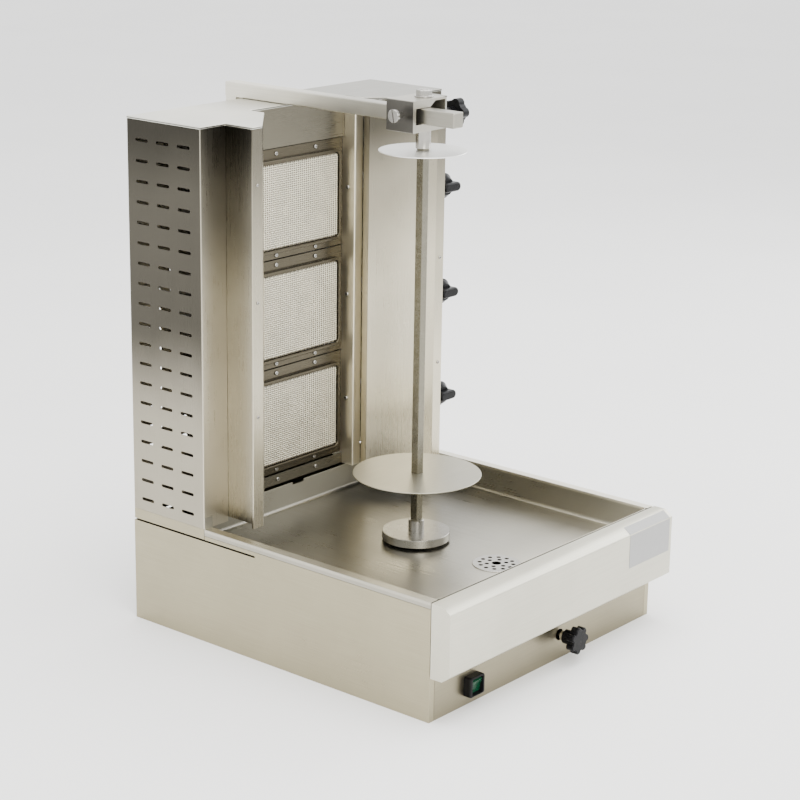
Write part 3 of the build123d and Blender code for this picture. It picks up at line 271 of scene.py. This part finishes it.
def turned(name, tone, rough):
    """Bright turned or drawn steel, with fine scratches and a little staining."""
    material, tree, shader = new_material(name)
    fine = noise(tree, 1400, 2.0, 0.6, (1, 1, 0.2))
    stain = noise(tree, 60, 4.0, 0.6)
    colour = mix(tree, span(tree, stain, 0, 1, 0.35, 0.7), scaled(tone, 0.88), tone)
    tree.links.new(colour, shader.inputs["Base Color"])
    shader.inputs["Metallic"].default_value = 1.0
    first = span(tree, fine, rough - 0.04, rough + 0.05)
    total = math_node(tree, "ADD", first, span(tree, stain, -0.03, 0.06))
    tree.links.new(total, shader.inputs["Roughness"])
    bump(tree, shader, fine, 0.12, 0.00008)
    return material


def plastic(name, tone, rough, shine=0.5, speckle=0.25):
    """Moulded plastic: fine texture, dust and handling marks in the roughness."""
    material, tree, shader = new_material(name)
    grain = noise(tree, 1800, 2.0, 0.5)
    wear = noise(tree, 90, 5.0, 0.65)
    light = tuple(min(1.0, c * 1.7 + 0.012) for c in tone)
    dust = span(tree, wear, 0.0, speckle, 0.45, 0.75)
    colour = mix(tree, dust, tone, light)
    tree.links.new(colour, shader.inputs["Base Color"])
    shader.inputs["Specular IOR Level"].default_value = shine
    first = span(tree, grain, rough - 0.03, rough + 0.03)
    total = math_node(tree, "ADD", first, span(tree, wear, -0.05, 0.09))
    tree.links.new(total, shader.inputs["Roughness"])
    bump(tree, shader, grain, 0.08, 0.0001)
    return material


def ceramic(name):
    """Cream ceramic plaque with fine flame holes painted dark as shade, a little scorched in places.
    """
    material, tree, shader = new_material(name)
    coord = tree.nodes.new("ShaderNodeTexCoord")
    cells = tree.nodes.new("ShaderNodeTexVoronoi")
    cells.inputs["Scale"].default_value = 420
    cells.inputs["Randomness"].default_value = 0.15
    tree.links.new(coord.outputs["Object"], cells.inputs["Vector"])
    holes = span(tree, cells.outputs["Distance"], 0.0, 1.0, 0.12, 0.3)
    cloud = noise(tree, 14, 4.0, 0.6)
    body = mix(tree, span(tree, cloud, 0, 1), (0.16, 0.135, 0.095), (0.22, 0.19, 0.14))
    # painted shade: the flame holes are coloured near-black
    colour = mix(tree, holes, (0.03, 0.024, 0.015), body)
    tree.links.new(colour, shader.inputs["Base Color"])
    tree.links.new(span(tree, cloud, 0.75, 0.92), shader.inputs["Roughness"])
    bump(tree, shader, holes, 0.5, 0.0006)
    return material


def cast(name, tone, rough, metallic=1.0, scale=260):
    """Cast, zinc-coated or painted metal with a mottled skin."""
    material, tree, shader = new_material(name)
    skin = noise(tree, scale, 5.0, 0.65)
    cloud = noise(tree, 16, 3.0, 0.5)
    colour = mix(tree, span(tree, skin, 0, 1, 0.35, 0.65), scaled(tone, 0.78), tone)
    colour = mix(tree, span(tree, cloud, 0.0, 0.3), colour, scaled(tone, 0.62))
    tree.links.new(colour, shader.inputs["Base Color"])
    shader.inputs["Metallic"].default_value = metallic
    tree.links.new(span(tree, skin, rough - 0.07, rough + 0.1), shader.inputs["Roughness"])
    bump(tree, shader, skin, 0.25, 0.0002)
    return material


M = {
    "casing": steel("Brushed casing", (0.63, 0.58, 0.46), 0.30, "z", 0.08, levels=casing_levels),
    "back": steel("Brushed rear panel", (0.42, 0.39, 0.32), 0.32, "x", 0.15),
    "wing": steel("Reflector sheet", (0.62, 0.57, 0.44), 0.28, "z", 0.06, levels=wing_levels),
    "base_y": steel("Brushed base, front to back", (0.40, 0.36, 0.25), 0.32, "y", 0.15),
    # painted shade: base_x is base_y's steel at about 0.78 of its tone, a darker copy for the front,
    # back and drawer box
    "base_x": steel("Brushed base, sideways", (0.31, 0.278, 0.195), 0.32, "x", 0.15),
    "front_x": steel("Brushed drawer front", (0.62, 0.60, 0.50), 0.34, "x", 0.15),
    "tray": steel("Pressed tray", (0.94, 0.895, 0.75), 0.30, "y", 0.02, levels=tray_levels),
    "lid": steel("Brushed lid", (0.80, 0.785, 0.70), 0.36, "x", 0.1, levels=lid_levels),
    "rail": steel("Burner rail", (0.86, 0.80, 0.64), 0.36, "z", 0.04),
    "burner": steel("Burner frame", (0.088, 0.077, 0.054), 0.26, "x", 0.08),
    "cover": steel("Cover plate", (0.15, 0.138, 0.105), 0.28, "x", 0.08),
    "arm": steel("Square tube", (0.95, 0.91, 0.78), 0.32, "y", 0.2, levels=arm_levels),
    "block": steel("Folded plate", (0.46, 0.44, 0.38), 0.32, "x", 0.15, levels=block_levels),
    "disc_low": steel("Lower disc", (0.45, 0.43, 0.35), 0.38, "x", 0.1),
    "disc_top": steel("Upper disc", (0.88, 0.88, 0.85), 0.36, "x", 0.1),
    "turned": turned("Turned steel", (0.44, 0.425, 0.385), 0.18),
    "spit": turned("Drawn square bar", (0.20, 0.188, 0.147), 0.24),
    "hub": turned("Turned hub", (0.33, 0.32, 0.29), 0.28),
    "screw": turned("Screw steel", (0.36, 0.35, 0.325), 0.2),
    "wire": turned("Heat-resistant wire", (1.0, 0.955, 0.80), 0.4),
    "zinc": cast("Zinc-coated sheet", (0.60, 0.61, 0.62), 0.42),
    "brass": cast("Machined brass", (0.72, 0.55, 0.25), 0.28),
    "pipe": cast("Black pipe", (0.08, 0.08, 0.085), 0.5, 0.0),
    "enamel": cast("Motor enamel", (0.07, 0.08, 0.09), 0.4, 0.0),
    "alloy": cast("Cast gearbox", (0.62, 0.62, 0.62), 0.42),
    "plaque": ceramic("Ceramic plaque"),
    "black": plastic("Glossy black plastic", (0.004, 0.004, 0.0045), 0.28, 0.12, 0.1),
    "boot": plastic("Soft black boot", (0.005, 0.005, 0.0055), 0.36, 0.12, 0.1),
    "matt": plastic("Matt black plastic", (0.012, 0.012, 0.013), 0.5, 0.2),
    "green": plastic("Green rocker", (0.002, 0.035, 0.015), 0.24, 0.2, 0.4),
    "label": plastic("White label", (0.32, 0.32, 0.315), 0.45, 0.3, 0.1),
}

# ------------------------------------------------------------------ CAD nodes


def soften(obj, material, bevel):
    """Material, small rounded edges and clean shading for a CAD piece; its vertices stay."""
    mesh = obj.data
    mesh.materials.clear()
    mesh.materials.append(material)
    for polygon in mesh.polygons:
        polygon.material_index = 0
        polygon.use_smooth = True
    for name in ("custom_normal", "sharp_face"):
        if name in mesh.attributes:
            mesh.attributes.remove(mesh.attributes[name])
    weld = obj.modifiers.new("Weld", "WELD")
    weld.merge_threshold = 0.000002
    if bevel:
        edge = obj.modifiers.new("Bevel", "BEVEL")
        edge.width = bevel
        edge.segments = 2
        edge.limit_method = "ANGLE"
        edge.angle_limit = math.radians(38)
        edge.use_clamp_overlap = True
    split = obj.modifiers.new("Split", "EDGE_SPLIT")
    split.split_angle = math.radians(42)
    weighted = obj.modifiers.new("Normals", "WEIGHTED_NORMAL")
    weighted.mode = "FACE_AREA"
    weighted.weight = 60


# material and bevel width of each CAD node; no bevel where slots or thin discs would suffer
LOOK = {
    "base_side_left": ("base_y", 0.0003), "base_side_right": ("base_y", 0.0003),
    "front_panel": ("base_x", 0.0002), "base_back": ("base_x", 0.0002),
    "base_floor": ("zinc", 0.0003),
    "drip_tray": ("tray", 0.0003), "drain_grate": ("turned", 0.00012),
    "drawer_front": ("front_x", 0.0005), "drawer_box": ("base_x", 0.0003),
    "drawer_runners": ("zinc", 0.0003),
    "tower_base": ("base_y", 0.0003), "casing_left": ("casing", 0), "casing_right": ("casing", 0),
    "wing_left": ("wing", 0.0003), "wing_right": ("wing", 0.0003),
    "burner_rail_left": ("rail", 0.0003), "burner_rail_right": ("rail", 0.0003),
    "tower_lid": ("lid", 0.0003), "tower_back": ("back", 0.0002),
    "upper_cover": ("cover", 0.0003), "lower_strip": ("cover", 0.0003),
    "burner_frame_1": ("burner", 0.0003), "burner_frame_2": ("burner", 0.0003),
    "burner_frame_3": ("burner", 0.0003),
    "burner_plaques": ("plaque", 0.0005), "burner_meshes": ("wire", 0),
    "burner_boxes": ("zinc", 0.0006),
    "gas_manifold": ("pipe", 0.0004), "gas_valves": ("brass", 0.0005),
    "gas_injectors": ("brass", 0.0004),
    "valve_spindle_1": ("turned", 0.0002), "valve_spindle_2": ("turned", 0.0002),
    "valve_spindle_3": ("turned", 0.0002),
    "gas_knob_1": ("black", 0.0005), "gas_knob_2": ("black", 0.0005), "gas_knob_3": ("black", 0.0005),
    "slide_rods": ("turned", 0.0003), "rod_supports": ("zinc", 0.0004), "carriage": ("zinc", 0.0005),
    "motor": ("enamel", 0.0005), "gearbox": ("alloy", 0.0006), "drive_shaft": ("turned", 0.0003),
    "hub": ("hub", 0.0003), "spit": ("spit", 0), "disc_pin": ("turned", 0.0002),
    "lower_disc": ("disc_low", 0), "upper_disc": ("disc_top", 0), "push_rod": ("turned", 0.0003),
    "front_knob": ("black", 0.0008), "clamp_knob": ("black", 0.0008),
    "support_arm": ("arm", 0.0004), "slide_block": ("block", 0.0004),
    "pivot_pin": ("turned", 0.0002), "pin_nut": ("screw", 0.0003), "guide_screw": ("screw", 0.0002),
    "switch_body": ("matt", 0.0004), "switch_boot": ("boot", 0.0005), "rocker": ("green", 0.0005),
    "cable_gland": ("matt", 0.0005), "tower_screws": ("screw", 0.0002),
}
for name, (look, bevel) in LOOK.items():
    soften(nodes[name], M[look], bevel)

# ------------------------------------------------------------------ new pieces


def add_mesh(name, build):
    """A new object from a bmesh that the given function fills."""
    mesh = bpy.data.meshes.new(name)
    bm = bmesh.new()
    build(bm)
    bmesh.ops.recalc_face_normals(bm, faces=bm.faces)
    bm.to_mesh(mesh)
    bm.free()
    obj = bpy.data.objects.new(name, mesh)
    bpy.context.scene.collection.objects.link(obj)
    return obj


# woven wire screens in the burner frames
PITCH_X = 0.0042        # between upright wires
PITCH_Z = 0.0031        # between level wires
WIRE = 0.00062          # a wire's radius
SIDES = 5               # corners of a wire's section
SWAY = WIRE * 0.95      # how far a wire swings to the front and back


def weave(bm, low, high, front, corner):
    """Wires both ways in one opening with rounded corners, each passing over and under in turn."""
    columns = int((high.x - low.x) / PITCH_X)
    rows = int((high.z - low.z) / PITCH_Z)
    x0 = (low.x + high.x - (columns - 1) * PITCH_X) / 2
    z0 = (low.z + high.z - (rows - 1) * PITCH_Z) / 2

    def inset(along, start, stop):
        """How much a rounded corner takes off a wire's end."""
        near = min(along - start, stop - along)
        if near >= corner:
            return 0.0
        return corner - math.sqrt(max(corner ** 2 - (corner - near) ** 2, 0))

    def wire(points, across):
        """A closed tube through the points; across is square to the wire and to Y."""
        rings = []
        for point in points:
            ring = []
            for k in range(SIDES):
                angle = 2 * math.pi * k / SIDES
                shift = across * math.cos(angle) * WIRE + Vector((0, 1, 0)) * math.sin(angle) * WIRE
                ring.append(bm.verts.new(point + shift))
            rings.append(ring)
        for a, b in zip(rings, rings[1:]):
            for k in range(SIDES):
                bm.faces.new((a[k], a[(k + 1) % SIDES], b[(k + 1) % SIDES], b[k]))
        bm.faces.new(rings[0])
        bm.faces.new(list(reversed(rings[-1])))

    for i in range(columns):
        x = x0 + i * PITCH_X
        cut = inset(x, low.x, high.x)
        crossings = [z0 + j * PITCH_Z for j in range(rows)]
        inside = [z for z in crossings if low.z + cut < z < high.z - cut]
        first = round((inside[0] - z0) / PITCH_Z)
        sways = [SWAY if (i + j + first) % 2 else -SWAY for j in range(len(inside))]
        points = [Vector((x, front + sway, z)) for sway, z in zip(sways, inside)]
        ends = [Vector((x, front, low.z + cut)), Vector((x, front, high.z - cut))]
        wire([ends[0]] + points + [ends[1]], Vector((1, 0, 0)))
    for j in range(rows):
        z = z0 + j * PITCH_Z
        cut = inset(z, low.z, high.z)
        crossings = [x0 + i * PITCH_X for i in range(columns)]
        inside = [x for x in crossings if low.x + cut < x < high.x - cut]
        first = round((inside[0] - x0) / PITCH_X)
        sways = [-SWAY if (i + j + first) % 2 else SWAY for i in range(len(inside))]
        points = [Vector((x, front + sway, z)) for sway, x in zip(sways, inside)]
        ends = [Vector((low.x + cut, front, z)), Vector((high.x - cut, front, z))]
        wire([ends[0]] + points + [ends[1]], Vector((0, 0, 1)))


screen_low, screen_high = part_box("burner_meshes")
screen_y = (screen_low.y + screen_high.y) / 2
FRAME_TOP, FRAME_BOTTOM = 0.0212, 0.0152   # from a frame's edges to its screen
SCREEN_SIDE = 0.0008                       # the screen's clearance at each side
SCREEN_CORNER = 0.006                      # its corner radius


def all_screens(bm):
    for index in (1, 2, 3):
        low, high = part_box("burner_frame_%d" % index)
        corner_low = Vector((screen_low.x + SCREEN_SIDE, 0, low.z + FRAME_BOTTOM))
        corner_high = Vector((screen_high.x - SCREEN_SIDE, 0, high.z - FRAME_TOP))
        weave(bm, corner_low, corner_high, screen_y, SCREEN_CORNER)


screens = add_mesh("wire_screens", all_screens)
screens.data.materials.append(M["wire"])
for polygon in screens.data.polygons:
    polygon.use_smooth = len(polygon.vertices) == 4
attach(screens, "frame")
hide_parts("burner_meshes")


# blank label on the right end of the drawer's front, folded over its chamfer
front_low, front_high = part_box("drawer_front")
CHAMFER_BACK, CHAMFER_DOWN = 0.012, 0.009  # the drawer front's upper chamfer
LABEL_LEFT, LABEL_RIGHT = 0.105, 0.006     # the label's ends, from the front's right end
LABEL_BOTTOM = 0.058                       # its lower edge, from the front's top
LABEL_LIFT = 0.00025                       # its face, off the steel
LABEL_SHEET = 0.0001


def label_sheet(bm):
    """A thin closed sheet that follows the chamfer and then the upright face."""
    upper = Vector((0, front_low.y + CHAMFER_BACK, front_high.z))
    lower = Vector((0, front_low.y, front_high.z - CHAMFER_DOWN))
    slope = (lower - upper).normalized()
    out = Vector((0, slope.z, -slope.y))
    path = [
        upper + slope * 0.0008 + out * LABEL_LIFT,
        lower - slope * 0.0012 + out * LABEL_LIFT,
        lower + Vector((0, -LABEL_LIFT, -0.0016)),
        Vector((0, front_low.y - LABEL_LIFT, front_high.z - LABEL_BOTTOM)),
    ]
    ends = (front_high.x - LABEL_LEFT, front_high.x - LABEL_RIGHT)
    rows = [[bm.verts.new((x, p.y, p.z)) for p in path] for x in ends]
    back = [[bm.verts.new((x, p.y + LABEL_SHEET, p.z - LABEL_SHEET)) for p in path] for x in ends]
    last = len(path) - 1
    for k in range(last):
        bm.faces.new((rows[0][k], rows[0][k + 1], rows[1][k + 1], rows[1][k]))
        bm.faces.new((back[0][k], back[1][k], back[1][k + 1], back[0][k + 1]))
        for side in (0, 1):
            bm.faces.new((rows[side][k], rows[side][k + 1], back[side][k + 1], back[side][k]))
    for k in (0, last):
        bm.faces.new((rows[0][k], rows[1][k], back[1][k], back[0][k]))


label = add_mesh("blank_label", label_sheet)
label.data.materials.append(M["label"])
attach(label, "drawer")

# ------------------------------------------------------------------ stage, light, camera


FLOOR_HALF = 30


def floor_plane(bm):
    near, far = -FLOOR_HALF, FLOOR_HALF
    corners = [(near, near, 0), (far, near, 0), (far, far, 0), (near, far, 0)]
    bm.faces.new([bm.verts.new(c) for c in corners])


floor = add_mesh("floor", floor_plane)
floor_material, floor_tree, floor_shader = new_material("Pale floor")
floor_cloud = span(floor_tree, noise(floor_tree, 1.5, 3), 0, 1)
floor_tone = mix(floor_tree, floor_cloud, (0.84, 0.84, 0.835), (0.87, 0.87, 0.865))
floor_tree.links.new(floor_tone, floor_shader.inputs["Base Color"])
floor_shader.inputs["Roughness"].default_value = 0.8
floor.data.materials.append(floor_material)

world = bpy.data.worlds.new("Studio")
bpy.context.scene.world = world
world.use_nodes = True
sky = world.node_tree
background = sky.nodes["Background"]
direction = sky.nodes.new("ShaderNodeTexCoord")
axes = sky.nodes.new("ShaderNodeSeparateXYZ")
sky_ramp = sky.nodes.new("ShaderNodeValToRGB")
sky.links.new(direction.outputs["Generated"], axes.inputs[0])
sky.links.new(axes.outputs["Z"], sky_ramp.inputs["Fac"])
sky.links.new(sky_ramp.outputs["Color"], background.inputs["Color"])
sky_ramp.color_ramp.elements[0].position = 0.0
sky_ramp.color_ramp.elements[0].color = (1.0, 1.0, 0.995, 1)
sky_ramp.color_ramp.elements[1].position = 0.9
sky_ramp.color_ramp.elements[1].color = (0.80, 0.80, 0.80, 1)
background.inputs["Strength"].default_value = 2.5


def softbox(name, place, target, width, height, power, tone):
    """A rectangular area light that faces its target."""
    light = bpy.data.lights.new(name, "AREA")
    light.shape = "RECTANGLE"
    light.size, light.size_y = width, height
    light.energy = power
    light.color = tone
    obj = bpy.data.objects.new(name, light)
    bpy.context.scene.collection.objects.link(obj)
    obj.location = place
    obj.rotation_euler = (Vector(target) - Vector(place)).to_track_quat("-Z", "Y").to_euler()


softbox("Overhead", (0.1, -0.2, 2.8), (0, 0, 0.3), 2.6, 2.6, 105, (1.0, 0.985, 0.96))
softbox("Front left", (-1.6, -2.6, 2.0), (0, 0, 0.3), 1.6, 1.6, 60, (1.0, 0.98, 0.95))
softbox("Right", (2.8, -0.6, 1.6), (0, 0, 0.4), 1.8, 1.8, 50, (0.97, 0.985, 1.0))

# the camera: place, heading, pitch, and a slight roll
HEADING = math.radians(50.302)
PITCH_DOWN = math.radians(16.357)
ROLL = math.radians(0.898)
forward = Vector((
    math.sin(HEADING) * math.cos(PITCH_DOWN),
    math.cos(HEADING) * math.cos(PITCH_DOWN),
    -math.sin(PITCH_DOWN),
))
right = Vector((math.cos(HEADING), -math.sin(HEADING), 0))
up = right.cross(forward)
right_rolled = right * math.cos(ROLL) + up * math.sin(ROLL)
up_rolled = up * math.cos(ROLL) - right * math.sin(ROLL)
camera_data = bpy.data.cameras.new("Camera")
camera_data.sensor_width = 36.0
camera_data.lens = 96.97
camera_data.shift_x = 0.0009
camera_data.shift_y = -0.0014
camera_data.clip_end = 100.0
camera = bpy.data.objects.new("Camera", camera_data)
bpy.context.scene.collection.objects.link(camera)
place = Vector((-2.2169, -1.8449, 1.1703))
camera.matrix_world = Matrix((
    (right_rolled.x, up_rolled.x, -forward.x, place.x),
    (right_rolled.y, up_rolled.y, -forward.y, place.y),
    (right_rolled.z, up_rolled.z, -forward.z, place.z),
    (0, 0, 0, 1),
))
bpy.context.scene.camera = camera
